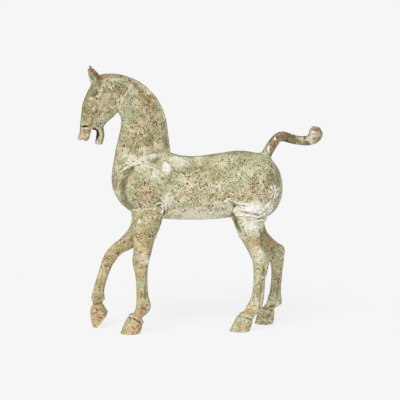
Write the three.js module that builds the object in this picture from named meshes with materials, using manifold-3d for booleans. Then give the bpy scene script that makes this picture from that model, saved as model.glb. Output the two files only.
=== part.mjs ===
// A standing horse cast in bronze, in sections that are joined for good: body, neck with head, four legs and tail.
// Millimetres. +X runs from the head to the tail, +Y to the horse's right side, +Z up from the ground.
import * as THREE from 'three';
import { mergeVertices } from 'three/addons/utils/BufferGeometryUtils.js';
import Module from 'manifold-3d';

const wasm = await Module();
wasm.setup();

const LEFT = -1; // sides, as factors along Y
const RIGHT = 1;

// Driving dimensions
const GAP = 0.3; // between two sections that meet
const HOOF_SPACING = 80; // between the middle planes of the left and the right legs
const BARREL = { chest: -199, rump: 187, roundedEnd: 52 }; // x of both ends, and the length over which each closes
const NECK_SEAM = { chest: [-199, 371], withers: [-68, 407] }; // x and z of both ends of the sloping joint
const SHOULDER = { x: -123, z: 326, length: 106, height: 124, from: 34, to: 66, toe: 4 };
const EYE = { x: -238, z: 538, y: 20, length: 17, breadth: 9, height: 11, turn: -18 };
const NOSTRIL = { x: -257, z: 464, y: 15, length: 16, breadth: 12, height: 5, turn: -8 };
const MOUTH = { x: -237, z: 449, length: 25, breadth: 21, height: 38 }; // the hollow behind the lips
const PARTING = { x: -239.5, z: 449, length: 11.5, breadth: 60, height: 19 }; // the arch between the lips
const OPEN_CHEEK = { x: -235.5, z: 445, y: 18, length: 15, breadth: 22, height: 27 }; // worn away on the left
const LIP_NOTCH = { x: -265, z: 429, length: 7, breadth: 60, height: 9 };
const EAR_ROOT = 552; // z
const LEFT_EAR = { side: LEFT, height: 46.5, lean: 0 }; // height above the root, and how far the tip leans back
const RIGHT_EAR = { side: RIGHT, height: 38, lean: -2 };
const BLOCK = 1000; // a cutting block, larger than the horse
const SAME_PLACE = 1e-4; // corners closer than this are one

/** Turns a closed three.js geometry into a solid that can be joined and cut. */
function solid(geometry) {
  const bare = new THREE.BufferGeometry();
  bare.setAttribute('position', geometry.getAttribute('position').clone());
  bare.setIndex(geometry.getIndex().clone());
  const merged = mergeVertices(bare, SAME_PLACE);
  const vertices = merged.getAttribute('position').array;
  const indices = merged.getIndex().array;
  const corners = [new THREE.Vector3(), new THREE.Vector3(), new THREE.Vector3()];
  const kept = [];
  let volume = 0;
  for (let i = 0; i < indices.length; i += 3) {
    const triangle = [...indices.slice(i, i + 3)];
    if (new Set(triangle).size < 3) continue;
    kept.push(...triangle);
    corners.forEach((corner, k) => corner.fromArray(vertices, 3 * triangle[k]));
    const [a, b, c] = corners;
    volume += a.dot(b.cross(c));
  }
  if (volume < 0) kept.reverse();
  const mesh = new wasm.Mesh({
    numProp: 3,
    vertProperties: Float32Array.from(vertices),
    triVerts: Uint32Array.from(kept),
  });
  return new wasm.Manifold(mesh);
}

function join(...solids) {
  return solids.reduce((whole, next) => whole.add(next));
}

/** Raises a number to a power and keeps its sign. */
function signedPower(value, power) {
  return Math.sign(value) * Math.abs(value) ** power;
}

/**
 * A closed skin through rings. Each ring stands across the horse's middle plane: x and z of its centre, its depth
 * from the front to the back edge, the tilt of that line in degrees, its width and the y of its centre.
 * A squareness of 2 makes ovals, more makes them boxier. The pinch narrows the back half and widens the front.
 */
function loft(rings, { sides, squareness, pinch = 0 }) {
  const skin = new THREE.CylinderGeometry(1, 1, 1, sides, rings.length - 1);
  const places = skin.getAttribute('position');
  const power = 2 / squareness;
  for (let i = 0; i < places.count; i += 1) {
    const ring = rings[Math.round((0.5 - places.getY(i)) * (rings.length - 1))];
    const along = signedPower(places.getZ(i), power);
    const across = signedPower(places.getX(i), power);
    const tilt = THREE.MathUtils.degToRad(ring.tilt);
    const reach = (along * ring.depth) / 2;
    const breadth = (across * ring.width * (1 - pinch * along)) / 2;
    places.setXYZ(i, ring.x + reach * Math.cos(tilt), ring.y + breadth, ring.z + reach * Math.sin(tilt));
  }
  return solid(skin);
}

/** Smooth rings through stations, with so many from one station to the next, all grown by a margin. */
function ringsThrough(stations, perStation, grow = 0) {
  const places = stations.map((station, index) => index);
  const values = stations.flatMap(([, x, z, depth, tilt, width, y = 0]) => [x, z, depth, tilt, width, y]);
  const smooth = new THREE.CubicInterpolant(places, values, 6);
  const rings = [];
  for (let i = 0; i <= (stations.length - 1) * perStation; i += 1) {
    const [x, z, depth, tilt, width, y] = smooth.evaluate(i / perStation);
    rings.push({ x, z, depth: depth + 2 * grow, tilt, width: width + 2 * grow, y });
  }
  return rings;
}

/** An egg on one side of the head, with three diameters, turned about Y by an angle in degrees. */
function egg({ x, z, y = 0, length, breadth, height, turn = 0 }, side = LEFT, sides = 10) {
  const ball = new THREE.SphereGeometry(0.5, sides, Math.round(sides * 0.6));
  ball.scale(length, breadth, height);
  ball.rotateY(THREE.MathUtils.degToRad(turn));
  ball.translate(x, side * y, z);
  return solid(ball);
}

/** Everything above the seam of the neck, as a block that starts at a distance from the seam. */
function aboveNeckSeam(distance) {
  const [x, z] = NECK_SEAM.chest;
  const slope = Math.atan2(NECK_SEAM.withers[1] - z, NECK_SEAM.withers[0] - x);
  const block = new THREE.BoxGeometry(BLOCK, BLOCK, BLOCK);
  block.translate(0, 0, BLOCK / 2 + distance);
  block.rotateY(-slope);
  block.translate(x, 0, z);
  return solid(block);
}

/** Everything below the ground, as a block. */
function underground() {
  const block = new THREE.BoxGeometry(BLOCK, BLOCK, BLOCK);
  block.translate(0, 0, -BLOCK / 2);
  return solid(block);
}

// Neck: a thick arch from the chest to the poll. Stations here and below, except for the barrel:
// name, x, z, depth, tilt, width, and y where it isn't in the middle plane.
const neckStations = [
  ['inside the chest', -122, 310, 124, 6, 70],
  ['below the seam', -132, 362, 133, 13, 92],
  ['above the seam', -133, 398, 121, 9, 82],
  ['lower third', -131, 430, 111, 7, 70],
  ['throat', -129, 471, 94, 5, 60],
  ['below the jowl', -138, 501, 88, 15, 56],
  ['behind the jowl', -162, 528, 84, 26, 52],
  ['behind the ears', -195, 553, 52, 42, 44],
  ['poll', -224, 565, 27, 60, 34],
];

function neckForm(grow) {
  return loft(ringsThrough(neckStations, 2, grow), { sides: 26, squareness: 2.2, pinch: 0.22 });
}

// Mane: a low clipped ridge along the crest, from the withers to the forelock between the ears.
const maneStations = [
  ['withers', -76, 401, 20, 8, 10],
  ['low on the crest', -81, 437, 20, 6, 13],
  ['middle', -87, 474, 22, 12, 15],
  ['bend', -104, 514, 24, 32, 16],
  ['behind the head', -138, 549, 24, 55, 17],
  ['poll', -180, 567, 22, 80, 17],
  ['between the ears', -211, 569, 20, 92, 15],
  ['forelock', -229, 565, 20, 100, 10],
];

function maneForm() {
  return loft(ringsThrough(maneStations, 3), { sides: 8, squareness: 2.4 });
}

// Barrel stations: name, x, top, bottom, width.
const barrelStations = [
  ['breast', -199, 402, 288, 90],
  ['chest', -160, 394, 271, 116],
  ['shoulder', -115, 396, 259, 122],
  ['withers', -70, 403, 252, 120],
  ['behind the withers', -48, 396, 251, 119],
  ['barrel', -11, 393, 250, 118],
  ['loin', 41, 399, 252, 119],
  ['hips', 90, 405, 257, 128],
  ['croup', 131, 399, 253, 128],
  ['rump', 187, 391, 250, 110],
];

/** The barrel from the chest to the rump, with both ends rounded off. */
function barrelForm(grow) {
  const places = barrelStations.map(([, x]) => x);
  const values = barrelStations.flatMap(([, , top, bottom, width]) => [top, bottom, width]);
  const smooth = new THREE.CubicInterpolant(places, values, 3);
  const { chest, rump, roundedEnd } = BARREL;
  const endSteps = 6;
  const middleSteps = 14;
  const smallestAngle = 0.16;
  const ends = [];
  for (let i = 0; i < endSteps; i += 1) {
    const angle = THREE.MathUtils.lerp(smallestAngle, Math.PI / 2, i / endSteps);
    ends.push({ inset: roundedEnd * (1 - Math.cos(angle)), scale: Math.sin(angle) });
  }
  const cuts = ends.map(({ inset, scale }) => ({ x: chest + inset, scale }));
  for (let i = 0; i <= middleSteps; i += 1) {
    const x = THREE.MathUtils.lerp(chest + roundedEnd, rump - roundedEnd, i / middleSteps);
    cuts.push({ x, scale: 1 });
  }
  cuts.push(...ends.reverse().map(({ inset, scale }) => ({ x: rump - inset, scale })));
  const rings = cuts.map(({ x, scale }) => {
    const [top, bottom, width] = smooth.evaluate(x);
    return {
      x,
      y: 0,
      z: (top + bottom) / 2,
      depth: (top - bottom) * scale + 2 * grow,
      tilt: 90,
      width: width * scale + 2 * grow,
    };
  });
  rings[0].x -= grow;
  rings.at(-1).x += grow;
  return loft(rings, { sides: 30, squareness: 2.35, pinch: 0.06 });
}

/** The shoulder muscle on one side: a low dome with a steep edge in front that sinks into the flank behind. */
function shoulderForm(side, grow) {
  const { x, z, length, height, from, to, toe } = SHOULDER;
  const steps = 5;
  const sides = 22;
  const fullness = 0.8;
  const outline = [];
  for (let i = 0; i <= steps; i += 1) {
    const angle = (i / steps) * (Math.PI / 2);
    outline.push(new THREE.Vector2(Math.sin(angle) ** fullness, Math.cos(angle) ** fullness));
  }
  outline.push(new THREE.Vector2(0, 0));
  const dome = new THREE.LatheGeometry(outline, sides);
  dome.scale(length / 2 + grow, to - from + grow, height / 2 + grow);
  if (side === LEFT) dome.rotateZ(Math.PI);
  dome.rotateZ(THREE.MathUtils.degToRad(-side * toe));
  dome.translate(x, side * from, z);
  return solid(dome);
}

function bodyForm(grow = 0) {
  const whole = join(barrelForm(grow), neckForm(grow), shoulderForm(LEFT, grow), shoulderForm(RIGHT, grow));
  return whole.subtract(aboveNeckSeam(0));
}

// Head: one loft from the brow to the mouth, two lips that part below it, then eyes, nostrils and ears.
const headStations = [
  ['between the ears', -214, 566, 48, 0, 34],
  ['brow', -206, 549, 76, -7, 44],
  ['eyes', -210, 530, 86, -10, 49],
  ['cheek', -221, 507, 83, -12, 48],
  ['jaw', -230, 489, 70, -8, 42],
  ['nose', -238, 474, 58, -3, 37],
  ['muzzle', -242, 462, 52, -1, 35],
  ['lip line', -243, 455, 49, 0, 31],
];

const upperLipStations = [
  ['root', -252, 468, 33, 0, 30],
  ['middle', -257, 448, 24, 0, 33],
  ['lip', -262, 437, 25, 0, 34],
  ['edge', -262, 432, 22, -8, 29],
];

const lowerJawStations = [
  ['root', -229, 468, 22, 0, 26],
  ['middle', -224, 449, 19, 0, 29],
  ['chin', -224, 438, 19, 0, 29],
  ['edge', -227, 423, 16, -4, 25],
];

/** A pricked ear, hollowed on its outer side. */
function earForm({ side, height, lean }) {
  const stations = [
    ['inside the head', -232, EAR_ROOT, 18, 0, 14, side * 12],
    ['base', -234, EAR_ROOT + 12, 22, 0, 16, side * 14],
    ['middle', -235, EAR_ROOT + height * 0.5, 24, 0, 14, side * 15],
    ['top', -240.5 + lean, EAR_ROOT + height * 0.78, 13, 0, 9, side * 15],
    ['tip', -246 + lean, EAR_ROOT + height, 3, 0, 3, side * 15],
  ];
  const leaf = loft(ringsThrough(stations, 2), { sides: 10, squareness: 2 });
  const cup = { x: -244, z: EAR_ROOT + height * 0.52, y: 20, length: 15, breadth: 10, height: height * 0.72, turn: 7 };
  return leaf.subtract(egg(cup, side, 12));
}

/** The socket around the eye: the same egg, larger all round and further out. */
function socket(side) {
  const { length, breadth, height, y } = EYE;
  return egg({ ...EYE, y: y + 4, length: length * 1.4, breadth: breadth * 1.2, height: height * 1.6 }, side);
}

function headAndNeckForm() {
  const head = loft(ringsThrough(headStations, 2), { sides: 22, squareness: 2.7, pinch: 0.05 });
  const upperLip = loft(ringsThrough(upperLipStations, 2), { sides: 14, squareness: 2.4 });
  const lowerJaw = loft(ringsThrough(lowerJawStations, 2), { sides: 14, squareness: 2.4 });
  let whole = join(neckForm(0), maneForm(), head, upperLip, lowerJaw);
  whole = whole.subtract(egg(MOUTH)).subtract(egg(PARTING)).subtract(egg(OPEN_CHEEK, LEFT, 8));
  whole = whole.subtract(egg(LIP_NOTCH, LEFT, 6));
  for (const side of [LEFT, RIGHT]) {
    whole = whole.subtract(socket(side)).add(egg(EYE, side)).subtract(egg(NOSTRIL, side));
  }
  whole = join(whole, earForm(LEFT_EAR), earForm(RIGHT_EAR));
  return whole.intersect(aboveNeckSeam(GAP));
}

// Legs: stations from inside the body down to the sole. The right foreleg steps, with its toe on the ground.
const legs = {
  foreleg_left: {
    side: LEFT,
    stations: [
      ['inside the chest', -123, 312, 62, 0, 36],
      ['elbow', -123, 271, 70, 0, 46],
      ['forearm', -124, 244, 63, 0, 42],
      ['lower forearm', -130, 212, 47, 0, 37],
      ['above the knee', -133, 188, 40, 0, 34],
      ['knee', -137, 165, 39, 0, 33],
      ['below the knee', -137, 145, 31, 0, 30],
      ['cannon', -135, 118, 25, 0, 26],
      ['low cannon', -134, 87, 26, 0, 25],
      ['fetlock', -131, 59, 35, 5, 28],
      ['pastern', -139.5, 45, 28, -8, 24],
      ['above the coronet', -148, 39, 26, -12, 26],
      ['coronet', -150, 31, 37, -24, 33],
      ['sole', -162, 0, 44, 0, 38],
    ],
  },
  foreleg_right: {
    side: RIGHT,
    stations: [
      ['inside the chest', -116, 300, 62, 0, 36],
      ['elbow', -117, 262, 68, -8, 46],
      ['forearm', -129, 222, 54, -26, 41],
      ['lower forearm', -161, 193, 37, -42, 35],
      ['above the knee', -185, 179, 30, -34, 32],
      ['knee', -200, 161, 30, -20, 32],
      ['below the knee', -209, 143, 25, -10, 29],
      ['cannon', -219, 115, 24, 0, 26],
      ['low cannon', -228, 84, 25, 0, 25],
      ['fetlock', -229, 67, 31, 0, 27],
      ['pastern', -230, 56, 22, 0, 23],
      ['above the coronet', -229, 50, 26, 0, 26],
      ['coronet', -229, 41, 37, -2, 32],
      ['sole', -223, 13, 50, 50, 35],
    ],
  },
  hindleg_left: {
    side: LEFT,
    stations: [
      ['inside the rump', 106, 306, 70, 0, 40],
      ['thigh', 107, 272, 80, 0, 50],
      ['stifle', 106, 246, 70, -2, 46],
      ['gaskin', 110, 216, 51, 0, 39],
      ['above the hock', 119, 191, 39, 4, 35],
      ['hock', 133, 165, 41, 4, 33],
      ['below the hock', 133, 147, 34, 0, 31],
      ['cannon', 130, 118, 26, 0, 27],
      ['low cannon', 127, 82, 27, 2, 25],
      ['fetlock', 120, 57, 35, -2, 28],
      ['pastern', 114, 45, 34, -8, 25],
      ['above the coronet', 102, 36.5, 32, -10, 26],
      ['coronet', 98, 29, 38, -17, 33],
      ['sole', 85, 0, 46, 0, 38],
    ],
  },
  hindleg_right: {
    side: RIGHT,
    stations: [
      ['inside the rump', 113, 300, 70, 0, 40],
      ['thigh', 115, 262, 86, 0, 50],
      ['stifle', 116, 236, 72, 0, 45],
      ['gaskin', 132, 209, 54, 6, 38],
      ['above the hock', 158, 182, 44, 25, 34],
      ['point of the hock', 170, 171, 50, 28, 33],
      ['hock', 180, 159, 42, 28, 32],
      ['below the hock', 182, 136, 28, 2, 30],
      ['cannon', 181, 108, 24, 0, 27],
      ['low cannon', 178, 73, 25, 0, 25],
      ['fetlock', 176, 49, 35, -10, 28],
      ['pastern', 167, 40, 23, -6, 24],
      ['above the coronet', 163, 36, 27, -10, 26],
      ['coronet', 158.5, 30, 36, -10, 32],
      ['sole', 152, 0, 43, 0, 37],
    ],
  },
};

/** A leg in its own plane beside the middle, cut to fit under the body and flat on the ground. */
function legForm({ side, stations }, body, ground) {
  const y = (side * HOOF_SPACING) / 2;
  const placed = stations.map((station) => [...station, y]);
  return loft(ringsThrough(placed, 2), { sides: 12, squareness: 2.3 }).subtract(body).subtract(ground);
}

// Tail: it rises from the croup, bends back and ends in an upturned knob.
const tailStations = [
  ['inside the croup', 138, 371, 23, -28, 23],
  ['root', 147, 389, 22, -24, 21],
  ['rise', 161, 414, 22, -27, 20],
  ['bend', 175, 432, 22, -62, 20],
  ['behind the bend', 188, 436, 22, -96, 20],
  ['middle', 207, 430, 20, -106, 19],
  ['low', 226, 426, 19, -95, 19],
  ['before the knob', 246, 426, 22, -84, 22],
  ['knob', 258, 434, 32, -52, 28],
  ['top of the knob', 264, 445, 32, -22, 28],
  ['end', 263, 456, 15, -10, 15],
];

function tailForm(body) {
  return loft(ringsThrough(tailStations, 2), { sides: 12, squareness: 2 }).subtract(body);
}

// Patina: grey green on every section, browner on the tail.
const greenPatina = { color: 0xa9a986, roughness: 0.85, metalness: 0.1 };
const brownPatina = { color: 0x8a8468, roughness: 0.85, metalness: 0.1 };

/** A named mesh made of a finished solid. */
function section(name, form, patina) {
  const { vertProperties, triVerts } = form.getMesh();
  const geometry = new THREE.BufferGeometry();
  geometry.setAttribute('position', new THREE.BufferAttribute(vertProperties, 3));
  geometry.setIndex(new THREE.BufferAttribute(triVerts, 1));
  geometry.computeVertexNormals();
  const mesh = new THREE.Mesh(geometry, new THREE.MeshStandardMaterial(patina));
  mesh.name = name;
  return mesh;
}

const group = new THREE.Group();
const spacedBody = bodyForm(GAP);
const ground = underground();
group.add(section('body', bodyForm(), greenPatina));
group.add(section('head_and_neck', headAndNeckForm(), greenPatina));
for (const [name, leg] of Object.entries(legs)) {
  group.add(section(name, legForm(leg, spacedBody, ground), greenPatina));
}
group.add(section('tail', tailForm(spacedBody), brownPatina));

// The origin is the middle of the footprint, on the ground.
const bounds = new THREE.Box3().setFromObject(group, true);
const centre = bounds.getCenter(new THREE.Vector3());
group.position.set(-centre.x, -centre.y, -bounds.min.z);
group.updateMatrixWorld(true);

export default group;
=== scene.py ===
from math import cos, radians, sin

import bmesh
import bpy
import numpy as np
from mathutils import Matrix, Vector
from mathutils.bvhtree import BVHTree


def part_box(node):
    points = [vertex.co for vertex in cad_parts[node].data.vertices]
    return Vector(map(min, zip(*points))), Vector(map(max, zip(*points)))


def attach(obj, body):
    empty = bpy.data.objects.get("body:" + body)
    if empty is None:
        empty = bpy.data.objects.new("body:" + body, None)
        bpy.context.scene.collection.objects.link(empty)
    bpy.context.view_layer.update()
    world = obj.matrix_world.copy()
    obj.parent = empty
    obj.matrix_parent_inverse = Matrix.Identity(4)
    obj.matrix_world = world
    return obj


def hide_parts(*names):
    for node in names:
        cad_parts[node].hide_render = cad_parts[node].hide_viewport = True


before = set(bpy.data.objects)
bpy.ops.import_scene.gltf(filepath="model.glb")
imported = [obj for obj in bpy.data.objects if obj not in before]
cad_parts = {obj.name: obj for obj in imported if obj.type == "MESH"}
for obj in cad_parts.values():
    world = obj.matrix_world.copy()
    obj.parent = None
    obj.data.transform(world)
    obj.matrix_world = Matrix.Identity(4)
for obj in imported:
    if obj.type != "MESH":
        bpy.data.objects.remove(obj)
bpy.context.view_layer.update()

# Body: the barrel of the horse, a hollow shell of cast bronze that the neck, legs and tail were cast on to.
# Its skin has the shoulder muscles, the crease of the flank and two round plugs where core pins were filled,
# under a coat of green and brown corrosion with specks of rust and white crust from the ground it lay in.
MM = 0.001
LEFT = -1
RIGHT = 1
BOTH = 0
ROUND = 2


class Surface:
    """The skin of one section while it is being worked: its corners, the way each one faces, and its dirt and
    painted shade.
    """

    def __init__(self, node, mesh):
        self.node = node
        self.mesh = mesh
        self.read()
        self.grime_and_shade = np.zeros(len(self.places))

    def read(self):
        self.places = self.three_of(self.mesh.vertices, "co")
        self.facing = self.three_of(self.mesh.vertex_normals, "vector")

    @staticmethod
    def three_of(items, name):
        values = np.empty(len(items) * 3)
        items.foreach_get(name, values)
        return values.reshape(-1, 3)

    def put(self, places):
        """Puts every corner at its new place."""
        self.mesh.vertices.foreach_set("co", places.astype(np.float32).ravel())
        self.mesh.update()
        self.read()

    def move(self, heights):
        """Raises each corner along the way it faces, by heights in mm."""
        self.put(self.places + self.facing * (heights * MM)[:, None])

    def on_side(self, side):
        """How much each corner faces one side of the horse, from 0 to 1."""
        sideways = self.facing[:, 1]
        if side == ROUND:
            return np.ones(len(self.places))
        if side == BOTH:
            return fade(np.abs(sideways), 0.05, 0.35)
        return fade(side * sideways, -0.1, 0.25)

    def from_line(self, points):
        """Distance in mm of each corner from a line of x and z places, seen from the side."""
        here = self.places[:, [0, 2]] / MM
        best = np.full(len(here), np.inf)
        for start, end in zip(np.array(points[:-1], float), np.array(points[1:], float)):
            along = end - start
            share = np.clip(((here - start) @ along) / (along @ along), 0, 1)
            best = np.minimum(best, np.linalg.norm(here - start - share[:, None] * along, axis=1))
        return best

    def store(self, name, amounts):
        """Keeps one amount from 0 to 1 for each corner, for the finish to read."""
        layer = self.mesh.attributes.new(name, "FLOAT", "POINT")
        layer.data.foreach_set("value", np.clip(amounts, 0, 1).astype(np.float32))


def fade(values, none, full):
    """0 where the values are at none, 1 where they are at full, and a smooth change between."""
    share = np.clip((values - none) / (full - none), 0, 1)
    return share * share * (3 - 2 * share)


def bell(distance, reach):
    """1 on the spot, a fifth at the reach, and almost 0 at one and a half times the reach."""
    steepness = 1.6
    return np.exp(-steepness * (distance / reach) ** 2)


def fine_skin(node, grain, softening, fullness):
    """
    A copy of a section's solid with its facets rounded off, as an even mesh with corners a grain in mm apart.
    It is smoothed a number of times, and gets back the fullness in mm that the smoothing takes off.
    """
    flat_enough, square_enough, sharp = 0.35, 1.2, radians(42)
    copy = bmesh.new()
    copy.from_mesh(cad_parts[node].data)
    bmesh.ops.remove_doubles(copy, verts=copy.verts, dist=0.01 * MM)
    bmesh.ops.join_triangles(
        copy, faces=copy.faces, angle_face_threshold=flat_enough, angle_shape_threshold=square_enough)
    crease = copy.edges.layers.float.new("crease_edge")
    for edge in copy.edges:
        if edge.calc_face_angle(0) > sharp:
            edge[crease] = 1
    mesh = bpy.data.meshes.new(node)
    copy.to_mesh(mesh)
    copy.free()
    rough = bpy.data.objects.new(node + "_rough", mesh)
    bpy.context.scene.collection.objects.link(rough)
    rounding = rough.modifiers.new("rounding", "SUBSURF")
    rounding.levels = rounding.render_levels = 2
    evening = rough.modifiers.new("evening", "REMESH")
    evening.mode = "VOXEL"
    evening.voxel_size = grain * MM
    smoothing = rough.modifiers.new("smoothing", "SMOOTH")
    smoothing.factor = 0.5
    smoothing.iterations = softening
    even = bpy.data.meshes.new_from_object(rough.evaluated_get(bpy.context.evaluated_depsgraph_get()))
    bpy.data.objects.remove(rough)
    surface = Surface(node, even)
    surface.move(np.full(len(surface.places), fullness))
    return surface


def weld(surface, others, reach, height):
    """
    Fills the corners where other sections meet this one, as the founder did with poured bronze, as far as the
    reach and up to the height in mm. Gives how close each corner is to a joint, from 0 to 1.
    """
    lift = np.zeros(len(surface.places))
    closeness = np.zeros(len(surface.places))
    reach = reach * MM
    step = 5 * MM
    for other in others:
        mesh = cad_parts[other].data
        tree = BVHTree.FromPolygons([v.co for v in mesh.vertices], [f.vertices[:] for f in mesh.polygons])
        low = np.array(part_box(other)[0]) - reach
        high = np.array(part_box(other)[1]) + reach
        for i in np.nonzero(((surface.places > low) & (surface.places < high)).all(axis=1))[0]:
            place = Vector(surface.places[i])
            away = tree.find_nearest(place, reach)[3]
            if away is None:
                continue
            # In a corner between two sections, a step outwards stays close to the other one. Where they run
            # on in line it leads straight away from it, and there is nothing to fill.
            further = tree.find_nearest(place + Vector(surface.facing[i]) * step)[3]
            cornered = np.clip(1.15 - 1.4 * (further - away) / step, 0, 1)
            share = (1 - away / reach) ** 2
            lift[i] = max(lift[i], height * share * cornered)
            closeness[i] = max(closeness[i], share)
    surface.move(lift)
    return closeness


def lumps(places, size, seed):
    """Smooth random heights from -1 to 1, with a lump or a hollow about every size mm."""
    cells = places / (size * MM)
    base = np.floor(cells).astype(np.int64)
    share = fade(cells - base, 0, 1)
    heights = np.zeros(len(places))
    for corner in range(8):
        step = np.array([corner & 1, corner >> 1 & 1, corner >> 2 & 1])
        weight = np.prod(np.where(step == 1, share, 1 - share), axis=1)
        # The height at a corner of the grid is its own place, scrambled with large primes.
        key = (base + step) @ np.array([73856093, 19349663, 83492791]) + seed * 104729
        key = ((key ^ (key >> 13)) * 1274126177) & 0x7FFFFFFF
        key = ((key ^ (key >> 11)) * 668265263) & 0x7FFFFFFF
        heights += weight * (key / 0x3FFFFFFF - 1)
    return heights


def carve(surface, side, lines):
    """Raises ridges and sinks grooves along lines: reach and height in mm, then the x and z places."""
    full_grime_and_shade = 3
    heights = np.zeros(len(surface.places))
    for reach, height, points in lines:
        line = height * bell(surface.from_line(points), reach)
        heights += line
        # A groove also gets dirt and painted shade, full where it is 3 mm deep.
        if height < 0:
            surface.grime_and_shade = np.maximum(surface.grime_and_shade, -line / full_grime_and_shade * surface.on_side(side))
    surface.move(heights * surface.on_side(side))


def patches(surface, name, seed, spots, lines):
    """
    Stores a layer of ragged patches, each with its x, z, length, height and strength, and of lines, each with
    its reach, strength and places. The right side, which the photograph doesn't show, has the same kind of
    patches in other places. All sizes are in mm.
    """
    chance = np.random.default_rng(seed)
    shift_along, shift_up = 22, 9
    small = 30
    gone, full = 1.35, 0.25
    every = [(LEFT, *spot) for spot in spots]
    for x, z, length, height, strength in spots:
        stretch = chance.uniform(0.7, 1.3)
        other_x = x + chance.uniform(-shift_along, shift_along)
        other_z = z + chance.uniform(-shift_up, shift_up)
        every.append((RIGHT, other_x, other_z, length * stretch, height / stretch, strength))
    ragged = 0.55 * lumps(surface.places, 11, seed) + 0.45 * lumps(surface.places, 4.5, seed + 1)
    across, upright = surface.places[:, 0] / MM, surface.places[:, 2] / MM
    total = np.zeros(len(surface.places))
    for side, x, z, length, height, strength in every:
        far = np.hypot((across - x) * 2 / length, (upright - z) * 2 / height)
        # The edge of a small patch is eaten away less, or the patch would vanish.
        eaten = ragged * min(max(length, height) / small, 1)
        total = np.maximum(total, strength * fade(far - eaten, gone, full) * surface.on_side(side))
    for reach, strength, points in lines:
        total = np.maximum(total, strength * bell(surface.from_line(points), reach) * surface.on_side(BOTH))
    surface.store(name, total)
    return total


def coat(surface, seed, layers, limed_lines=()):
    """Stores every layer of patches on a section, with lime along some lines. Gives the amount of crust."""
    amounts = {}
    for number, (name, spots) in enumerate(layers.items()):
        lines = limed_lines if name == "crust" else ()
        amounts[name] = patches(surface, name, seed + number, spots, lines)
    return amounts["crust"]


def corrode(surface, crust, depth=1.0):
    """
    The surface that corrosion leaves: soft unevenness in three sizes, small pits, and raised lime where there
    is crust. Each term is a height in mm times lumps of a width in mm.
    """
    places = surface.places
    uneven = 0.35 * lumps(places, 24, 1) + 0.2 * lumps(places, 10, 2) + 0.1 * lumps(places, 4, 3)
    pitted = -0.4 * fade(lumps(places, 5.5, 4), 0.4, 0.7)
    lime = crust * (0.3 + 0.9 * np.maximum(lumps(places, 7, 5), 0) + 0.4 * lumps(places, 3, 6))
    surface.move(depth * (uneven + pitted) + lime)


def hollows(surface):
    """How far in mm each corner lies below its surroundings, which is where dirt stays and where shade is
    painted.
    """
    rounds = 8
    ends = np.empty(len(surface.mesh.edges) * 2, np.int64)
    surface.mesh.edges.foreach_get("vertices", ends)
    first, second = ends.reshape(-1, 2).T
    here, there = np.concatenate([first, second]), np.concatenate([second, first])
    neighbours = np.bincount(here, minlength=len(surface.places))

    def around(values):
        return np.bincount(here, weights=values[there], minlength=len(values)) / neighbours

    smooth = surface.places
    for _ in range(rounds):
        smooth = np.stack([around(smooth[:, axis]) for axis in range(3)], axis=1)
    return around(around(np.einsum("ij,ij->i", smooth - surface.places, surface.facing))) / MM


def linear(hex_colour):
    """A colour written as sRGB hex, as the linear values that a shader takes."""
    parts = [int(hex_colour[i:i + 2], 16) / 255 for i in (1, 3, 5)]
    return tuple(p / 12.92 if p <= 0.04045 else ((p + 0.055) / 1.055) ** 2.4 for p in parts) + (1,)


def add_node(material, kind, settings=None, inputs=None):
    """Adds a node with its settings, and gives each input a plain value or the output that feeds it."""
    node = material.node_tree.nodes.new(kind)
    for name, value in (settings or {}).items():
        setattr(node, name, value)
    for name, value in (inputs or {}).items():
        socket = node.inputs[name] if isinstance(name, int) else next(
            s for s in node.inputs if name in (s.identifier, s.name))
        if isinstance(value, bpy.types.NodeSocket):
            material.node_tree.links.new(value, socket)
        else:
            socket.default_value = value
    return node


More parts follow.
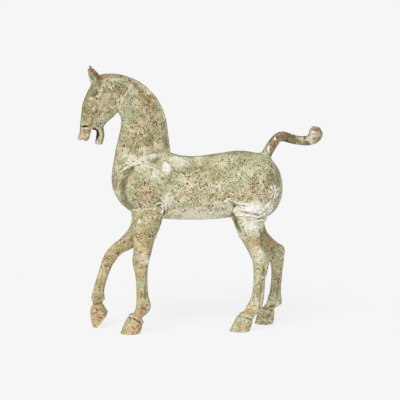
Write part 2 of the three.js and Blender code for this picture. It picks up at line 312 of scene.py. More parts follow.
def patinated_bronze(name, ground, speckle, metal=0.0, roughness=0.78):
    """
    Cast bronze under the patina of long burial: dull and chalky, green over tan in soft clouds, with dark
    pits, red-brown specks 2 to 4 mm wide, pale worn ridges with a painted highlight, dirt and painted shade
    in the grooves, a browner painted shade where it turns away from the sides, nearly black painted shade in
    the mouth, nostrils and cheek edge, and white where lime sits on it.
    The patina is a crust of minerals, so it is rough and not metallic, unless the metal shows through. The
    ground is four colours from dark to light, and the speckle is how many of the pits show.
    """
    material = bpy.data.materials.new(name)
    material.use_nodes = True
    material.node_tree.nodes.clear()
    where = add_node(material, "ShaderNodeTexCoord").outputs["Object"]
    cloudy = {"Detail": 4, "Roughness": 0.58}
    layers = ("crust", "pale", "mint", "olive", "warm", "stain", "rust", "edge_shade", "wear_and_highlight", "hollow_grime_and_shade", "black_shade")
    amount_of = {
        layer: add_node(material, "ShaderNodeAttribute", {"attribute_name": layer}).outputs["Fac"]
        for layer in layers
    }

    # Corrosion draws no plain circles, so its dots and clouds are pushed about by up to 5 mm.
    drift = add_node(material, "ShaderNodeTexNoise", None, {"Vector": where, "Scale": 1 / (6 * MM)})
    shifted = add_node(material, "ShaderNodeVectorMath", {"operation": "MULTIPLY_ADD"}, {
        0: drift.outputs["Color"], 1: (5 * MM,) * 3, 2: where}).outputs[0]

    def over(under, tint, amount, strength):
        """Lays a tint over the colours so far, as thick as the amount times the strength."""
        share = add_node(material, "ShaderNodeMath", {"operation": "MULTIPLY"}, {0: amount, 1: strength})
        return add_node(material, "ShaderNodeMix", {"data_type": "RGBA"}, {
            "Factor_Float": share.outputs[0], "A_Color": under, "B_Color": linear(tint)}).outputs[2]

    def clouds(size, low, high, at=shifted):
        """Soft clouds about size mm wide: none where the noise is at low, full where it is at high."""
        noise = add_node(material, "ShaderNodeTexNoise", None, {
            "Vector": at, "Scale": 1 / (size * MM), **cloudy})
        return add_node(material, "ShaderNodeMapRange", None, {
            "Value": noise.outputs["Fac"], "From Min": low, "From Max": high}).outputs["Result"]

    def dots(spacing, clusters, often, smallest, largest):
        """Scattered dots with their spacing and widths in mm, close together where the clusters are thick."""
        edge_inside, edge_outside, strays = 0.05, -0.03, 0.06
        cells = add_node(material, "ShaderNodeTexVoronoi", None, {
            "Vector": shifted, "Scale": 1 / (spacing * MM)})
        chance = add_node(material, "ShaderNodeSeparateColor", None, {0: cells.outputs["Color"]})
        size = add_node(material, "ShaderNodeMapRange", None, {
            "Value": chance.outputs["Red"],
            "To Min": smallest / 2 / spacing, "To Max": largest / 2 / spacing})
        inside = add_node(material, "ShaderNodeMath", {"operation": "SUBTRACT"}, {
            0: size.outputs["Result"], 1: cells.outputs["Distance"]})
        shape = add_node(material, "ShaderNodeMapRange", None, {
            "Value": inside.outputs[0], "From Min": edge_outside, "From Max": edge_inside})
        share = add_node(material, "ShaderNodeMath", {"operation": "MULTIPLY_ADD"}, {
            0: clusters, 1: often, 2: strays})
        shown = add_node(material, "ShaderNodeMath", {"operation": "GREATER_THAN"}, {
            0: share.outputs[0], 1: chance.outputs["Green"]})
        return add_node(material, "ShaderNodeMath", {"operation": "MULTIPLY"}, {
            0: shape.outputs["Result"], 1: shown.outputs[0]}).outputs[0]

    def patch(layer, size, softness):
        """A stored patch, eaten away at its edges by noise."""
        middle = 1.1
        noise = add_node(material, "ShaderNodeTexNoise", None, {
            "Vector": where, "Scale": 1 / (size * MM), **cloudy})
        total = add_node(material, "ShaderNodeMath", None, {0: amount_of[layer], 1: noise.outputs["Fac"]})
        return add_node(material, "ShaderNodeMapRange", None, {
            "Value": total.outputs[0],
            "From Min": middle - softness, "From Max": middle + softness}).outputs["Result"]

    # The ground of the patina drifts from tone to tone over about 34 mm.
    base = add_node(material, "ShaderNodeTexNoise", None, {
        "Vector": shifted, "Scale": 1 / (34 * MM), "Detail": 5, "Roughness": 0.58})
    tones = add_node(material, "ShaderNodeValToRGB", None, {"Fac": base.outputs["Fac"]})
    ramp = tones.color_ramp.elements
    ramp[0].position, ramp[0].color = 0.38, linear(ground[0])
    ramp[1].position, ramp[1].color = 0.62, linear(ground[3])
    ramp.new(0.46).color = linear(ground[1])
    ramp.new(0.54).color = linear(ground[2])
    colour = tones.outputs["Color"]

    # Clouds of mint, tan, olive and cream lie over the ground, then the patches that the photograph shows.
    for tint, size, low, high, strength in (
        ("#A9BF95", 27, 0.50, 0.60, 0.5), ("#D0B08A", 23, 0.47, 0.36, 0.4),
        ("#7F7A48", 12, 0.46, 0.36, 0.55), ("#E8E2C2", 9, 0.54, 0.64, 0.55),
    ):
        colour = over(colour, tint, clouds(size, low, high), strength)
    for tint, layer, size, strength in (
        ("#B6CBAE", "mint", 14, 0.6), ("#7F7542", "olive", 11, 0.65),
        ("#D3A880", "warm", 12, 0.65), ("#F0EBD6", "pale", 11, 0.85),
    ):
        colour = over(colour, tint, patch(layer, size, 0.3), strength)
    # The edge shade is painted shade, browner where the surface turns away from the sides, and the worn layer
    # is pale wear with a painted highlight on the ridges.
    for tint, layer, strength in (("#5F5431", "edge_shade", 0.58), ("#EAE4C8", "wear_and_highlight", 0.7)):
        colour = over(colour, tint, amount_of[layer], strength)

    # The mottle of the real patina is as fine as 1 mm. It is drawn about 4 mm wide, so that it shows.
    colour = over(colour, "#F0EACD", clouds(3.8, 0.53, 0.65), 0.3)
    colour = over(colour, "#6E6038", clouds(4.6, 0.44, 0.35), 0.45)

    # Dark pits, with fewer of them in the pale patches, then rust-red specks and stains.
    pits = dots(3.0, clouds(22, 0.34, 0.56, where), speckle, 1.5, 2.9)
    bare = add_node(material, "ShaderNodeMapRange", None, {
        "Value": amount_of["pale"], "To Min": 0.9, "To Max": 0.35})
    seen = add_node(material, "ShaderNodeMath", {"operation": "MULTIPLY"}, {
        0: pits, 1: bare.outputs["Result"]})
    colour = over(colour, "#46381F", seen.outputs[0], 1.0)
    rusting = add_node(material, "ShaderNodeMath", {"operation": "MULTIPLY"}, {
        0: amount_of["rust"], 1: clouds(19, 0.36, 0.62, where)})
    colour = over(colour, "#713525", dots(4.0, rusting.outputs[0], 1.1, 1.9, 4.3), 1.0)
    colour = over(colour, "#8F553A", patch("stain", 5, 0.18), 0.88)

    # The pores of the casting are finer than the render shows, and are drawn 2 mm apart.
    colour = over(colour, "#5A4F30", clouds(2.0, 0.46, 0.34, where), 0.28)

    # White lime with grey shade in it covers the rest. The dirt and painted shade of the grooves and hollows,
    # and the nearly black painted shade of the mouth and nostrils, come last.
    crust = patch("crust", 6, 0.15)
    colour = over(colour, "#F4F2EC", crust, 0.92)
    shade = add_node(material, "ShaderNodeMath", {"operation": "MULTIPLY"}, {
        0: crust, 1: clouds(4, 0.48, 0.36)})
    colour = over(colour, "#A7A08F", shade.outputs[0], 0.75)
    for tint, layer, strength in (("#544A2B", "hollow_grime_and_shade", 0.85), ("#1A1510", "black_shade", 1.0)):
        colour = over(colour, tint, amount_of[layer], strength)

    # The chalky grain is under half a millimetre deep, so it is left to the shading.
    relief = add_node(material, "ShaderNodeBump", None, {
        "Strength": 0.4, "Distance": 0.5 * MM, "Height": clouds(3.8, 0.3, 0.7)})
    shader = add_node(material, "ShaderNodeBsdfPrincipled", None, {
        "Base Color": colour, "Roughness": roughness, "Metallic": metal, "Normal": relief.outputs["Normal"]})
    add_node(material, "ShaderNodeOutputMaterial", None, {"Surface": shader.outputs["BSDF"]})
    return material


def finish_piece(surface, name, material, black_shade=None):
    """Makes a worked skin the piece that stands for its node of the frame."""
    below = hollows(surface)
    uneven = 0.5 + 0.5 * lumps(surface.places, 14, 8)
    # Dirt and painted shade show from 0.1 mm below the surroundings, and wear with a painted highlight from
    # 0.1 mm above them. Both are full at 0.5 mm.
    shows, grime_and_shade_depth, bright = 0.1, 0.45, 0.4
    surface.store("hollow_grime_and_shade", np.maximum((below - shows) / grime_and_shade_depth, surface.grime_and_shade * (0.6 + 0.6 * uneven)))
    clear_of_grime_and_shade = np.clip(1 - 2 * surface.grime_and_shade, 0, 1)
    surface.store("wear_and_highlight", (-below - shows) / bright * (0.55 + 0.7 * uneven) * clear_of_grime_and_shade)
    surface.store("black_shade", np.zeros(len(surface.places)) if black_shade is None else black_shade)
    # The parts that turn away from both sides, such as the back, the chest and the belly, get a browner
    # painted shade.
    sideways = np.abs(surface.facing[:, 1])
    surface.store("edge_shade", fade(sideways - 0.15 * lumps(surface.places, 12, 9), 0.34, -0.06))
    for face in surface.mesh.polygons:
        face.use_smooth = True
    piece = bpy.data.objects.new(name, surface.mesh)
    bpy.context.scene.collection.objects.link(piece)
    surface.mesh.materials.clear()
    surface.mesh.materials.append(material)
    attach(piece, "root")
    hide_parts(surface.node)


# The barrel is the greenest section, grey-green in its dark tones and cream in its pale ones.
GREEN_GROUND = ("#A2A678", "#BFB98D", "#CFC8A0", "#E0D9B8")
body = fine_skin("body", grain=1.55, softening=8, fullness=0.4)
weld(body, ["head_and_neck", "foreleg_left", "foreleg_right", "hindleg_left", "hindleg_right", "tail"],
     reach=11, height=4.5)

# The shoulder stands out between a groove in front of it and a ridge above, and the chest is full. A soft
# crease runs along the flank to the groin, where the skin over the thigh lies in folds.
shoulder_groove = [(-158, 370), (-170, 356), (-177, 338), (-178, 318), (-172, 298), (-158, 282)]
shoulder_edge = [(-140, 376), (-124, 373), (-110, 366), (-97, 354)]
shoulder_ridge = [(-184, 364), (-163, 379), (-140, 385), (-131, 380), (-109, 373), (-96, 364), (-86, 352)]
chest_ridge = [(-186, 350), (-189, 325), (-182, 300)]
chest_front = [(-196, 320), (-190, 300), (-178, 286)]
flank_crease = [(-70, 281), (-40, 283), (10, 285), (46, 290), (64, 299)]
thigh_folds = [
    [(47, 298), (57, 304), (66, 297), (82, 292), (100, 290)],
    [(79, 280), (112, 275), (127, 271), (137, 280), (144, 288)],
    [(72, 267), (104, 266), (119, 262), (134, 265)],
    [(109, 250), (127, 255), (139, 254)],
    [(149, 298), (146, 288), (149, 270), (139, 258)],
]
groin = [(66, 292), (70, 284), (69, 270), (64, 262)]
carve(body, ROUND, [(8, 1.3, chest_front)])
carve(body, BOTH, [
    (7, -2.2, shoulder_groove), (2.2, -0.5, shoulder_edge), (2.6, 1.8, shoulder_ridge), (3, 1.3, chest_ridge),
    (5, -0.3, flank_crease), (4, 0.3, [(x, z + 7) for x, z in flank_crease]),
])
carve(body, BOTH, [(2.6, 1.9, fold) for fold in thigh_folds] + [(5, -2.4, groin)])

# Crust stands in two ridges with a crack between them behind the elbow, and as a star of rays on the rump.
# The two plugs are rings about 20 mm wide with a low swelling inside.
elbow_crust = [[(-93, 288), (-90, 280), (-92, 270)], [(-86, 284), (-84, 274), (-87, 266)]]
elbow_crack = [(-88, 286), (-87, 276), (-89, 267)]
star = [
    [(158 + r * cos(turn), 317 + 1.25 * r * sin(turn)) for r in (4, 12)]
    for turn in np.radians(range(20, 380, 52))
]
PLUGS = [(-99, 285), (61, 303)]
carve(body, LEFT, [(2, 1.6, line) for line in elbow_crust])
carve(body, LEFT, [(1.8, -3.0, elbow_crack)])
carve(body, LEFT, [(2.0, 1.3, ray) for ray in star])
for plug_x, plug_z in PLUGS:
    away = body.from_line([(plug_x, plug_z - 2), (plug_x, plug_z + 2)])
    ring = 1.7 * bell(away - 10, 2.2)
    swelling = 0.5 * bell(away, 6)
    body.move((ring + swelling) * body.on_side(BOTH))

# Where lime, mint, olive, tan, stains and rust lie on the left side: x, z, length, height and strength.
elbow_ring = [(-99 + 9 * cos(turn), 285 + 12 * sin(turn)) for turn in np.radians(range(0, 375, 15))]
thigh_lime = [(2.4, 0.8, fold) for fold in thigh_folds]
body_lime = [
    (2.3, 0.72, shoulder_ridge[:3]), (2.3, 0.68, shoulder_ridge[3:6]), (2, 0.7, [(-181, 369), (-146, 389)]),
    (2, 0.75, elbow_ring), (2.4, 0.9, [(-82, 295), (-88, 284), (-94, 270)]),
    *((2.2, 1, ray) for ray in star), *thigh_lime,
]
body_crust = coat(body, 11, {
    "crust": [
        (-82, 377, 28, 26, 1), (-110, 362, 22, 22, 0.6), (-56, 393, 24, 12, 0.7), (-44, 384, 22, 18, 0.5),
        (-8, 392, 24, 9, 0.7), (3, 285, 26, 16, 0.35), (48, 298, 30, 10, 0.7), (61, 304, 16, 14, 0.4),
        (158, 317, 32, 40, 0.5), (-88, 277, 8, 24, 0.9), (-101, 296, 12, 5, 0.8), (-94, 288, 4, 14, 0.7),
        (-165, 376, 34, 10, 0.5), (-140, 386, 34, 9, 0.5), (150, 284, 16, 34, 0.9), (82, 294, 36, 10, 0.7),
        (120, 292, 44, 12, 0.6), (108, 288, 60, 10, 0.45),
    ],
    "pale": [
        (-10, 264, 180, 44, 1), (108, 280, 90, 40, 1), (-92, 370, 44, 44, 0.8), (-48, 387, 56, 26, 0.7),
        (-150, 380, 70, 20, 0.8), (-5, 388, 40, 14, 0.6), (-80, 300, 26, 50, 0.8), (40, 292, 70, 26, 0.7),
        (76, 358, 24, 28, 0.6), (158, 318, 30, 38, 0.8), (148, 285, 24, 40, 0.9),
    ],
    "mint": [
        (-72, 304, 16, 30, 1), (-84, 320, 22, 22, 0.7), (-40, 300, 50, 30, 0.4), (10, 325, 30, 18, 0.9),
        (-70, 350, 24, 30, 0.5), (40, 395, 70, 14, 0.7), (95, 398, 50, 14, 0.5), (68, 352, 24, 26, 0.6),
        (-10, 350, 40, 20, 0.4), (80, 330, 40, 24, 0.4), (75, 286, 12, 20, 0.8), (100, 262, 24, 12, 0.5),
    ],
    # The first olive patch, along the groove in front of the shoulder, and the one at the groin, at x 72, are
    # painted shade in those creases.
    "olive": [
        (-178, 330, 16, 84, 1), (-122, 277, 60, 20, 0.9), (150, 342, 40, 44, 0.9), (-166, 365, 24, 20, 0.7),
        (-10, 366, 60, 26, 0.7), (72, 280, 12, 34, 1), (30, 350, 50, 24, 0.6), (-199, 345, 22, 70, 0.9),
        (110, 348, 40, 30, 0.7), (168, 345, 20, 50, 0.8), (-150, 350, 30, 24, 0.5), (20, 390, 60, 12, 0.4),
        (133, 300, 34, 20, 0.6), (60, 320, 40, 24, 0.5),
    ],
    "warm": [
        (45, 263, 66, 10, 0.8), (-80, 278, 8, 14, 1), (126, 320, 22, 18, 0.9), (108, 335, 22, 22, 0.7),
        (140, 302, 26, 12, 0.9), (-130, 316, 66, 66, 0.65), (-40, 378, 12, 10, 0.9), (0, 262, 150, 20, 0.55),
        (-150, 300, 30, 30, 0.5), (96, 272, 26, 8, 0.7), (-160, 385, 30, 12, 0.6),
    ],
    "stain": [
        (-129, 321, 9, 13, 0.8), (20, 313, 8, 10, 1), (16, 294, 7, 8, 0.8), (-58, 327, 6, 9, 0.8),
        (-37, 313, 9, 7, 0.8), (-140, 276, 26, 8, 0.7), (-112, 276, 8, 6, 0.7), (113, 336, 22, 10, 0.55),
        (-38, 382, 9, 7, 0.6), (100, 304, 12, 7, 0.8), (80, 304, 12, 8, 0.8), (127, 302, 12, 8, 0.8),
        (146, 298, 16, 12, 0.75),
    ],
    "rust": [
        (-130, 312, 84, 74, 0.8), (-20, 318, 110, 50, 0.95), (-30, 352, 120, 44, 0.45),
        (70, 380, 110, 34, 0.7), (120, 330, 90, 60, 0.7), (50, 335, 70, 50, 0.6), (90, 306, 90, 20, 0.8),
        (155, 362, 40, 50, 0.8), (-150, 385, 40, 20, 0.5), (112, 284, 70, 30, 0.25),
    ],
}, body_lime)
corrode(body, body_crust)
body_finish = patinated_bronze("patinated_bronze_barrel", GREEN_GROUND, speckle=0.8)
finish_piece(body, "barrel", body_finish)

# Head and neck: one hollow casting with a low clipped mane, joined to the chest along a sloping seam. It has
# bulging eyes under a curved brow, a round jowl, slit nostrils with a thick lower rim, and an open mouth with
# lips and a jaw that stand apart like the rim of a jug. Its patina is browner than that of the barrel.
NECK_GROUND = ("#918959", "#B8AB7D", "#CBBE94", "#E2D6B2")
head = fine_skin("head_and_neck", grain=1.1, softening=5, fullness=0.4)
weld(head, ["body"], reach=11, height=4.0)
brow_ridge = [(-217, 556), (-224, 541), (-229, 532), (-238, 525), (-252, 526)]
jowl_edge = [(-155, 554), (-167, 539), (-177, 526), (-183, 512), (-180, 497)]
mane_edge = [
    (-226, 558), (-195, 562), (-165, 561), (-150, 557), (-134, 545), (-117, 528), (-103, 508), (-95, 492),
    (-88, 455), (-83, 415),
]
nostril_rims = [[(-267, 457), (-259, 458), (-251, 460)], [(-266, 470), (-258, 469), (-251, 470)]]
nostril_slit = [(-270, 465), (-262, 463), (-252, 464), (-249, 466)]
ear_fold = [(-253, 590), (-246, 576), (-240, 564)]
carve(head, BOTH, [
    (3.0, 1.9, brow_ridge), (3.4, -0.8, [(x - 6, z + 5) for x, z in brow_ridge[:4]]),
    (2.5, -0.9, [(x + 7, z - 2) for x, z in brow_ridge[:4]]),
    (2.3, 1.6, jowl_edge), (4, -1.3, [(x + 7, z - 3) for x, z in jowl_edge]),
    (2.4, -0.9, mane_edge[:7]), (2.4, 0.8, [(x + 3, z + 5) for x, z in mane_edge[:7]]),
    (3, -0.4, mane_edge[6:]), (2.2, 1.6, nostril_rims[0]), (2.0, 1.0, nostril_rims[1]),
    (1.6, -1.5, nostril_slit), (1.8, -1.4, ear_fold),
])

# The upper lip has a notch behind its tip and a full rim, and the lower jaw is full towards the throat.
lip_notch = [(-266, 432), (-265, 434)]
lip_rim = [(-254, 444), (-252, 437)]
jaw_line = [(-225, 468), (-211, 477), (-198, 487)]
cheek_edge = [(-240, 458), (-236, 456.5), (-232.5, 453), (-231, 448), (-231.5, 442), (-234, 437), (-238, 433)]
cheek_rim = [(-238, 464), (-227, 457), (-223, 445), (-226, 432)]
carve(head, ROUND, [(3.6, -3.6, lip_notch), (5, 2, lip_rim), (7, 1.5, jaw_line)])
carve(head, BOTH, [(2.2, -2.4, cheek_edge), (2.4, 1.4, cheek_rim)])
head_crust = coat(head, 21, {
    "crust": [
        (-160, 384, 34, 9, 0.6), (-138, 391, 36, 10, 0.6), (-112, 398, 26, 12, 0.75), (-93, 398, 22, 12, 0.4),
        (-150, 402, 30, 8, 0.35),
    ],
    "pale": [
        (-140, 396, 90, 24, 0.9), (-185, 567, 50, 9, 0.6), (-130, 552, 50, 8, 0.5), (-160, 545, 16, 30, 0.7),
        (-176, 520, 12, 24, 0.6), (-215, 505, 50, 50, 0.45), (-95, 480, 20, 60, 0.5),
        (-130, 540, 30, 20, 0.4), (-165, 405, 30, 30, 0.5), (-100, 420, 40, 20, 0.5),
    ],
    "mint": [
        (-256, 446, 12, 18, 0.7), (-166, 490, 22, 60, 0.8), (-158, 552, 26, 26, 0.8),
        (-160, 530, 18, 26, 0.6), (-120, 470, 50, 40, 0.5), (-180, 420, 24, 60, 0.6),
        (-220, 480, 40, 30, 0.5), (-130, 420, 50, 30, 0.5),
    ],
    "olive": [
        (-240, 538, 26, 30, 1), (-195, 546, 80, 34, 1), (-118, 433, 36, 30, 1), (-205, 520, 50, 30, 0.6),
        (-122, 525, 40, 34, 0.8), (-246, 552, 20, 20, 0.6), (-108, 500, 30, 50, 0.6),
        (-240, 580, 18, 40, 0.5), (-262, 475, 20, 20, 0.7), (-258, 452, 20, 16, 0.6),
        (-180, 390, 30, 20, 0.5), (-264, 510, 9, 60, 1), (-256, 532, 10, 30, 1),
    ],
    "warm": [
        (-268, 447, 22, 34, 1), (-262, 434, 34, 12, 1), (-226, 428, 18, 12, 1), (-210, 572, 30, 8, 0.5),
        (-235, 500, 40, 60, 0.35), (-140, 490, 60, 60, 0.3), (-118, 455, 40, 24, 0.5),
    ],
    "stain": [
        (-262, 479, 14, 9, 0.7), (-217, 510, 14, 9, 0.75), (-160, 565, 10, 7, 1), (-249, 595, 10, 14, 1),
        (-243, 588, 13, 16, 1), (-236, 581, 14, 16, 1), (-230, 573, 12, 16, 1), (-138, 540, 18, 12, 0.65),
        (-118, 518, 20, 24, 0.7), (-108, 502, 12, 18, 0.65), (-110, 453, 12, 8, 0.6), (-108, 474, 7, 10, 0.8),
        (-128, 512, 14, 10, 0.6), (-148, 448, 7, 12, 0.8), (-134, 462, 10, 8, 0.7), (-94, 446, 6, 12, 0.7),
        (-190, 400, 6, 10, 0.7),
    ],
    "rust": [
        (-215, 505, 60, 60, 0.7), (-130, 525, 70, 50, 0.95), (-130, 460, 90, 60, 0.85),
        (-185, 545, 60, 30, 0.5), (-140, 410, 100, 30, 0.4), (-240, 480, 50, 50, 0.75),
        (-105, 490, 30, 50, 0.7),
    ],
})
corrode(head, head_crust, depth=0.7)

# Painted shade runs down the front of the face, and brown grime lies round the eye and on the ears.
face_front = [(-251, 556), (-264, 529), (-270, 501), (-272, 472)]
face_front_shade = 0.55 * bell(head.from_line(face_front), 3.5)
eye_grime = 0.5 * bell(head.from_line([(-243, 537), (-240, 538)]), 9) * head.on_side(BOTH)
ear_grime = 0.42 * fade(head.places[:, 2] / MM, 562, 576)
head.grime_and_shade = np.maximum.reduce([head.grime_and_shade, face_front_shade, eye_grime, ear_grime])

# The hollow of the mouth, the edge of the cheek behind the lips and the slit of the nostril get a nearly
# black painted shade.
MOUTH_MIDDLE, MOUTH_REACH, MOUTH_HALF_WIDTH = [-233, 0, 446], [13, 15, 20], 13
from_mouth = np.linalg.norm((head.places / MM - MOUTH_MIDDLE) / MOUTH_REACH, axis=1)
between_lips = np.abs(head.places[:, 1]) < MOUTH_HALF_WIDTH * MM
mouth_shade = fade(bell(from_mouth, 1.0), 0.35, 0.65) * between_lips
cheek_shade = fade(head.from_line(cheek_edge), 3.4, 2.2) * head.on_side(BOTH)
nostril_shade = fade(head.from_line([(-264, 464), (-252, 464.5)]), 1.5, 0.3) * head.on_side(BOTH)
head_finish = patinated_bronze("patinated_bronze_neck", NECK_GROUND, speckle=0.95)
finish_piece(head, "head_with_neck", head_finish,
             black_shade=np.maximum.reduce([mouth_shade, cheek_shade, nostril_shade]))

# Legs: four hollow castings that fit up against the belly, with a knob at each fetlock and a sharp step where
# the hoof begins. Three hooves rest flat, and the right fore one stands on the tip of its toe. The forelegs
# are yellower and less specked than the barrel, and the hind legs are as green as it is.
LEG_GROUND = ("#A49762", "#B8A872", "#C6B37E", "#D2C08D")
fore_finish = patinated_bronze("patinated_bronze_forelegs", LEG_GROUND, speckle=0.6)
hind_finish = patinated_bronze("patinated_bronze_hindlegs", GREEN_GROUND, speckle=0.75)
tendons = {
    "foreleg_left": [
        (2.6, -1.6, [(-131, 107), (-130, 78)]), (3, -1.6, [(-92, 262), (-98, 240), (-106, 216)]),
    ],
    "foreleg_right": [(2.4, -1.2, [(-222, 120), (-228, 84)])],
    "hindleg_left": [
        (2.8, -1.9, [(127, 234), (131, 215), (132, 196)]), (2.6, -1.7, [(134, 150), (137, 128)]),
        (2.2, -1.8, [(130, 106), (128, 80), (127, 50)]), (6, -2.8, [(64, 266), (72, 248), (81, 228)]),
        *((2.6, 2.2, fold) for fold in thigh_folds), (2.2, -1.4, [(84, 273), (112, 269), (124, 266)]),
    ],
    "hindleg_right": [(2.6, -1.7, [(182, 118), (181, 90), (178, 58)])],
}
coronets = {
    "foreleg_left": [
        (2.0, -2.2, [(-172, 38), (-157, 37), (-147, 30), (-136, 18)]),
        (2.4, 2.0, [(-172, 43), (-157, 42), (-146, 35), (-134, 24)]),
        (4, 1.6, [(-124, 52), (-122, 60), (-124, 68)]),
    ],
    "foreleg_right": [
        (2.2, -1.3, [(-252, 42), (-240, 46), (-224, 41), (-208, 31)]),
        (3, 1.0, [(-250, 36), (-238, 39), (-222, 34)]),
        (2.2, 1.5, [(-250, 67), (-232, 62), (-210, 67)]),
        (3, -1.0, [(-250, 59), (-232, 55), (-210, 60)]),
    ],
    "hindleg_left": [
        (2.0, -2.2, [(78, 37), (95, 33), (106, 29), (116, 24)]),
        (2.4, 2.0, [(78, 42), (94, 39), (106, 34), (116, 29)]),
        (3, 1.6, [(96, 58), (106, 54), (118, 52)]),
    ],
    "hindleg_right": [
        (2.0, -2.0, [(138, 41), (156, 36), (168, 32), (180, 28)]),
        (2.4, 1.8, [(140, 46), (156, 41), (168, 37)]),
        (2.6, 1.6, [(152, 66), (166, 60), (180, 56)]),
    ],
}
swellings = {
    "foreleg_left": [
        (6, 1.3, [(-92, 255), (-105, 228), (-114, 205), (-119, 178)]), (5, 1.5, [(-134, 24), (-137, 4)]),
    ],
    "foreleg_right": [],
    "hindleg_left": [
        (6, 2.2, [(140, 268), (138, 256)]), (5, 1.5, [(72, 232), (84, 212)]),
        (4, 1.5, [(144, 150), (143, 130)]), (4, 1.4, [(137, 110), (134, 72)]), (4, 1.4, [(97, 66), (98, 62)]),
    ],
    "hindleg_right": [
        (6, 2.0, [(192, 178), (193, 166)]), (5, 1.8, [(122, 26), (120, 6)]), (4, 1.2, [(169, 30), (169, 5)]),
    ],
}
leg_layers = {
    "foreleg_left": {
        "crust": [
            (-125, 165, 9, 18, 0.8), (-110, 266, 60, 8, 0.55), (-144, 257, 12, 16, 0.7),
            (-147, 243, 8, 12, 0.6),
        ],
        "pale": [(-133, 172, 24, 40, 0.7), (-130, 258, 50, 20, 0.6), (-135, 120, 20, 50, 0.4)],
        "mint": [(-112, 240, 26, 30, 0.5), (-135, 120, 18, 40, 0.5)],
        "olive": [
            (-102, 258, 20, 30, 1), (-120, 200, 20, 50, 0.5), (-131, 92, 14, 40, 0.8),
            (-140, 262, 24, 20, 0.5),
        ],
        "warm": [
            (-133, 177, 26, 40, 0.9), (-148, 40, 40, 34, 1), (-156, 16, 56, 34, 0.8),
            (-128, 140, 16, 40, 0.4),
        ],
        "stain": [
            (-136, 58, 26, 24, 0.9), (-136, 58, 13, 14, 1), (-136, 168, 7, 14, 0.7), (-142, 140, 6, 10, 0.6),
        ],
        "rust": [
            (-125, 225, 60, 90, 0.85), (-133, 170, 30, 50, 0.7), (-155, 15, 50, 36, 1),
            (-132, 80, 24, 80, 0.4),
        ],
    },
    "foreleg_right": {
        "crust": [(-222, 128, 8, 8, 0.4)],
        "pale": [(-216, 120, 16, 40, 0.4), (-240, 24, 20, 20, 0.4)],
        "mint": [(-150, 215, 40, 30, 0.6), (-216, 38, 8, 14, 0.9), (-205, 150, 16, 24, 0.4)],
        "olive": [
            (-150, 205, 50, 30, 0.7), (-215, 143, 24, 8, 0.9), (-232, 70, 30, 20, 0.7),
            (-196, 170, 30, 24, 0.4),
        ],
        "warm": [
            (-235, 24, 44, 44, 1), (-200, 170, 30, 40, 0.7), (-210, 140, 26, 40, 0.6),
            (-224, 100, 18, 50, 0.6), (-248, 42, 10, 16, 0.8),
        ],
        "stain": [(-186, 172, 11, 11, 1), (-231, 55, 26, 6, 0.6), (-214, 143, 16, 8, 0.9)],
        "rust": [
            (-160, 195, 60, 40, 1), (-205, 155, 40, 50, 0.6), (-228, 90, 26, 60, 0.4),
            (-235, 26, 40, 40, 0.8),
        ],
    },
    "hindleg_left": {
        "crust": [
            (112, 282, 66, 18, 0.9), (92, 270, 50, 12, 0.8), (130, 270, 30, 22, 0.9), (112, 240, 40, 38, 0.9),
            (128, 182, 12, 12, 0.9), (122, 138, 8, 12, 0.6), (92, 292, 50, 10, 0.8),
        ],
        "pale": [
            (104, 278, 96, 50, 1), (108, 244, 66, 54, 1), (120, 176, 26, 34, 0.7), (122, 60, 24, 24, 0.6),
            (98, 16, 34, 20, 0.4), (90, 226, 36, 40, 0.7),
        ],
        "mint": [
            (86, 250, 24, 20, 0.7), (121, 139, 18, 22, 0.8), (118, 64, 20, 16, 0.7), (98, 32, 16, 10, 0.6),
        ],
        # The first olive patch, at the groin, is painted shade in the crease between thigh and flank.
        "olive": [
            (72, 250, 14, 50, 1), (132, 214, 10, 44, 0.9), (108, 263, 40, 5, 0.6), (126, 100, 24, 40, 0.6),
            (135, 140, 10, 30, 0.9), (110, 200, 24, 20, 0.4), (96, 18, 50, 30, 0.5),
        ],
        "warm": [
            (104, 44, 30, 22, 0.9), (92, 14, 40, 22, 0.8), (116, 205, 40, 40, 0.75), (134, 60, 10, 40, 0.7),
            (112, 180, 20, 50, 0.5),
        ],
        "stain": [(88, 240, 7, 7, 0.9), (102, 44, 16, 9, 0.6), (131, 212, 5, 34, 0.5), (136, 56, 6, 24, 0.6)],
        "rust": [
            (110, 215, 50, 40, 0.6), (95, 15, 46, 26, 0.9), (125, 110, 24, 60, 0.4), (120, 165, 24, 40, 0.4),
        ],
    },
    "hindleg_right": {
        "crust": [(176, 164, 8, 8, 0.3)],
        "pale": [
            (182, 130, 18, 40, 0.5), (150, 12, 34, 14, 0.5), (158, 192, 40, 30, 0.3), (164, 30, 40, 40, 0.5),
        ],
        "mint": [(176, 66, 20, 16, 0.8), (158, 34, 24, 12, 0.8), (182, 140, 18, 24, 0.4)],
        "olive": [(178, 90, 20, 60, 0.7), (194, 176, 12, 14, 1), (180, 150, 30, 20, 0.4)],
        "warm": [
            (156, 190, 50, 44, 1), (167, 43, 26, 12, 1), (185, 120, 20, 60, 0.8), (182, 100, 16, 60, 0.6),
            (160, 20, 44, 36, 0.75),
        ],
        "stain": [(166, 42, 18, 10, 0.9), (160, 24, 12, 8, 0.7), (182, 56, 6, 20, 0.5)],
        "rust": [(170, 165, 50, 50, 0.5), (180, 100, 20, 60, 0.4), (158, 16, 40, 26, 0.6)],
    },
}
FIRST_LEG_SEED, SEEDS_EACH = 31, 10
for number, (leg, layers) in enumerate(leg_layers.items()):
    shank = fine_skin(leg, grain=0.9, softening=5, fullness=0.6)
    near_joint = weld(shank, ["body"], reach=8, height=3.2)
    carve(shank, BOTH, tendons[leg])
    carve(shank, ROUND, coronets[leg] + swellings[leg])
    lime = thigh_lime if leg == "hindleg_left" else ()
    leg_crust = coat(shank, FIRST_LEG_SEED + SEEDS_EACH * number, layers, lime)
    corrode(shank, np.maximum(leg_crust, 0.8 * near_joint), depth=0.6)
    # Nothing of a hoof reaches below the ground.
    shank.put(np.maximum(shank.places, [-np.inf, -np.inf, 0]))
    finish_piece(shank, leg + "_casting", hind_finish if "hind" in leg else fore_finish)

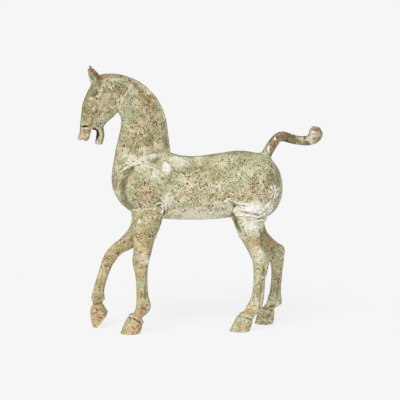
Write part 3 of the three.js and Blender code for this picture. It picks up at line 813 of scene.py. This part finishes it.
# Tail: a solid rod of bronze let into the croup, bent back like a crank and ending in an upturned knob. It
# was handled more than the rest, so brown metal with some gloss shows through the green on its way up.
TAIL_GROUND = ("#463822", "#655537", "#8C7D60", "#B8AD8B")
dock = fine_skin("tail", grain=0.8, softening=8, fullness=1.0)
weld(dock, ["body"], reach=7, height=2.4)
dock_glints = coat(dock, 71, {
    # The three crust spots on the dock are white painted glints, raised a little as lime.
    "crust": [(151, 408, 6, 20, 0.8), (166, 431, 5, 14, 0.8), (176, 441, 12, 4, 0.6)],
    "pale": [(250, 440, 30, 36, 0.9), (222, 432, 26, 16, 0.5), (143, 402, 12, 16, 0.5)],
    "mint": [(143, 400, 14, 20, 0.6), (262, 440, 16, 20, 0.5)],
    "olive": [(241, 422, 20, 10, 1), (196, 436, 40, 20, 0.8), (160, 418, 20, 40, 0.8)],
    "warm": [(176, 430, 30, 24, 0.4), (262, 452, 20, 10, 0.7)],
    "stain": [
        (165, 420, 9, 36, 0.8), (178, 440, 26, 8, 0.8), (196, 442, 50, 7, 0.9), (218, 426, 18, 9, 0.9),
        (254, 452, 12, 8, 0.8), (172, 424, 8, 20, 0.7),
    ],
    "rust": [(170, 425, 50, 50, 0.8), (215, 430, 60, 20, 0.8), (255, 440, 30, 30, 0.4)],
})
corrode(dock, dock_glints, depth=0.6)
tail_finish = patinated_bronze("patinated_bronze_tail", TAIL_GROUND, speckle=0.6, metal=0.2, roughness=0.5)
finish_piece(dock, "tail_casting", tail_finish)

# Studio: a pale floor that glows a little like a lit table, soft light from the front and from all round, and
# the camera of the photograph, a little to the front of the horse and a little above its belly.
FLOOR_REACH = 80
FLOOR_GREY = 0.12
FLOOR_GLOW = 0.81
ROOM_COLOUR = "#F5F5F5"
ROOM_LIGHT = 0.465
KEY_LIGHT = 2.08
KEY_SOFTNESS = radians(35)
KEY_TILT, KEY_TURN = radians(42), radians(-28)
LENS = 162.5
AZIMUTH, ELEVATION, DISTANCE = radians(-6), radians(7.6), 4.062

sweep = bmesh.new()
bmesh.ops.create_grid(sweep, x_segments=1, y_segments=1, size=FLOOR_REACH)
floor_mesh = bpy.data.meshes.new("floor")
sweep.to_mesh(floor_mesh)
sweep.free()
floor = bpy.data.objects.new("floor", floor_mesh)
bpy.context.scene.collection.objects.link(floor)
lit_table = bpy.data.materials.new("lit_table")
lit_table.use_nodes = True
glow = lit_table.node_tree.nodes["Principled BSDF"].inputs
glow["Base Color"].default_value = (FLOOR_GREY, FLOOR_GREY, FLOOR_GREY, 1)
glow["Roughness"].default_value = 1
glow["Specular IOR Level"].default_value = 0
glow["Emission Color"].default_value = (1, 1, 1, 1)
glow["Emission Strength"].default_value = FLOOR_GLOW
floor_mesh.materials.append(lit_table)

room = bpy.data.worlds.new("studio")
bpy.context.scene.world = room
room.use_nodes = True
room_light = room.node_tree.nodes["Background"].inputs
room_light["Color"].default_value = linear(ROOM_COLOUR)
room_light["Strength"].default_value = ROOM_LIGHT
key_data = bpy.data.lights.new("key", "SUN")
key_data.energy = KEY_LIGHT
key_data.angle = KEY_SOFTNESS
key = bpy.data.objects.new("key", key_data)
key.rotation_euler = (KEY_TILT, 0, KEY_TURN)
bpy.context.scene.collection.objects.link(key)
bpy.context.scene.view_settings.view_transform = "Standard"

camera_data = bpy.data.cameras.new("camera")
camera_data.lens = LENS
camera_data.clip_end = 5 * FLOOR_REACH
camera = bpy.data.objects.new("camera", camera_data)
bpy.context.scene.collection.objects.link(camera)
aim = Vector((-0.0022, 0, 0.294))
level = cos(ELEVATION)
away = Vector((sin(AZIMUTH) * level, -cos(AZIMUTH) * level, sin(ELEVATION)))
camera.location = aim + away * DISTANCE
camera.rotation_euler = away.to_track_quat("Z", "Y").to_euler()
bpy.context.scene.camera = camera
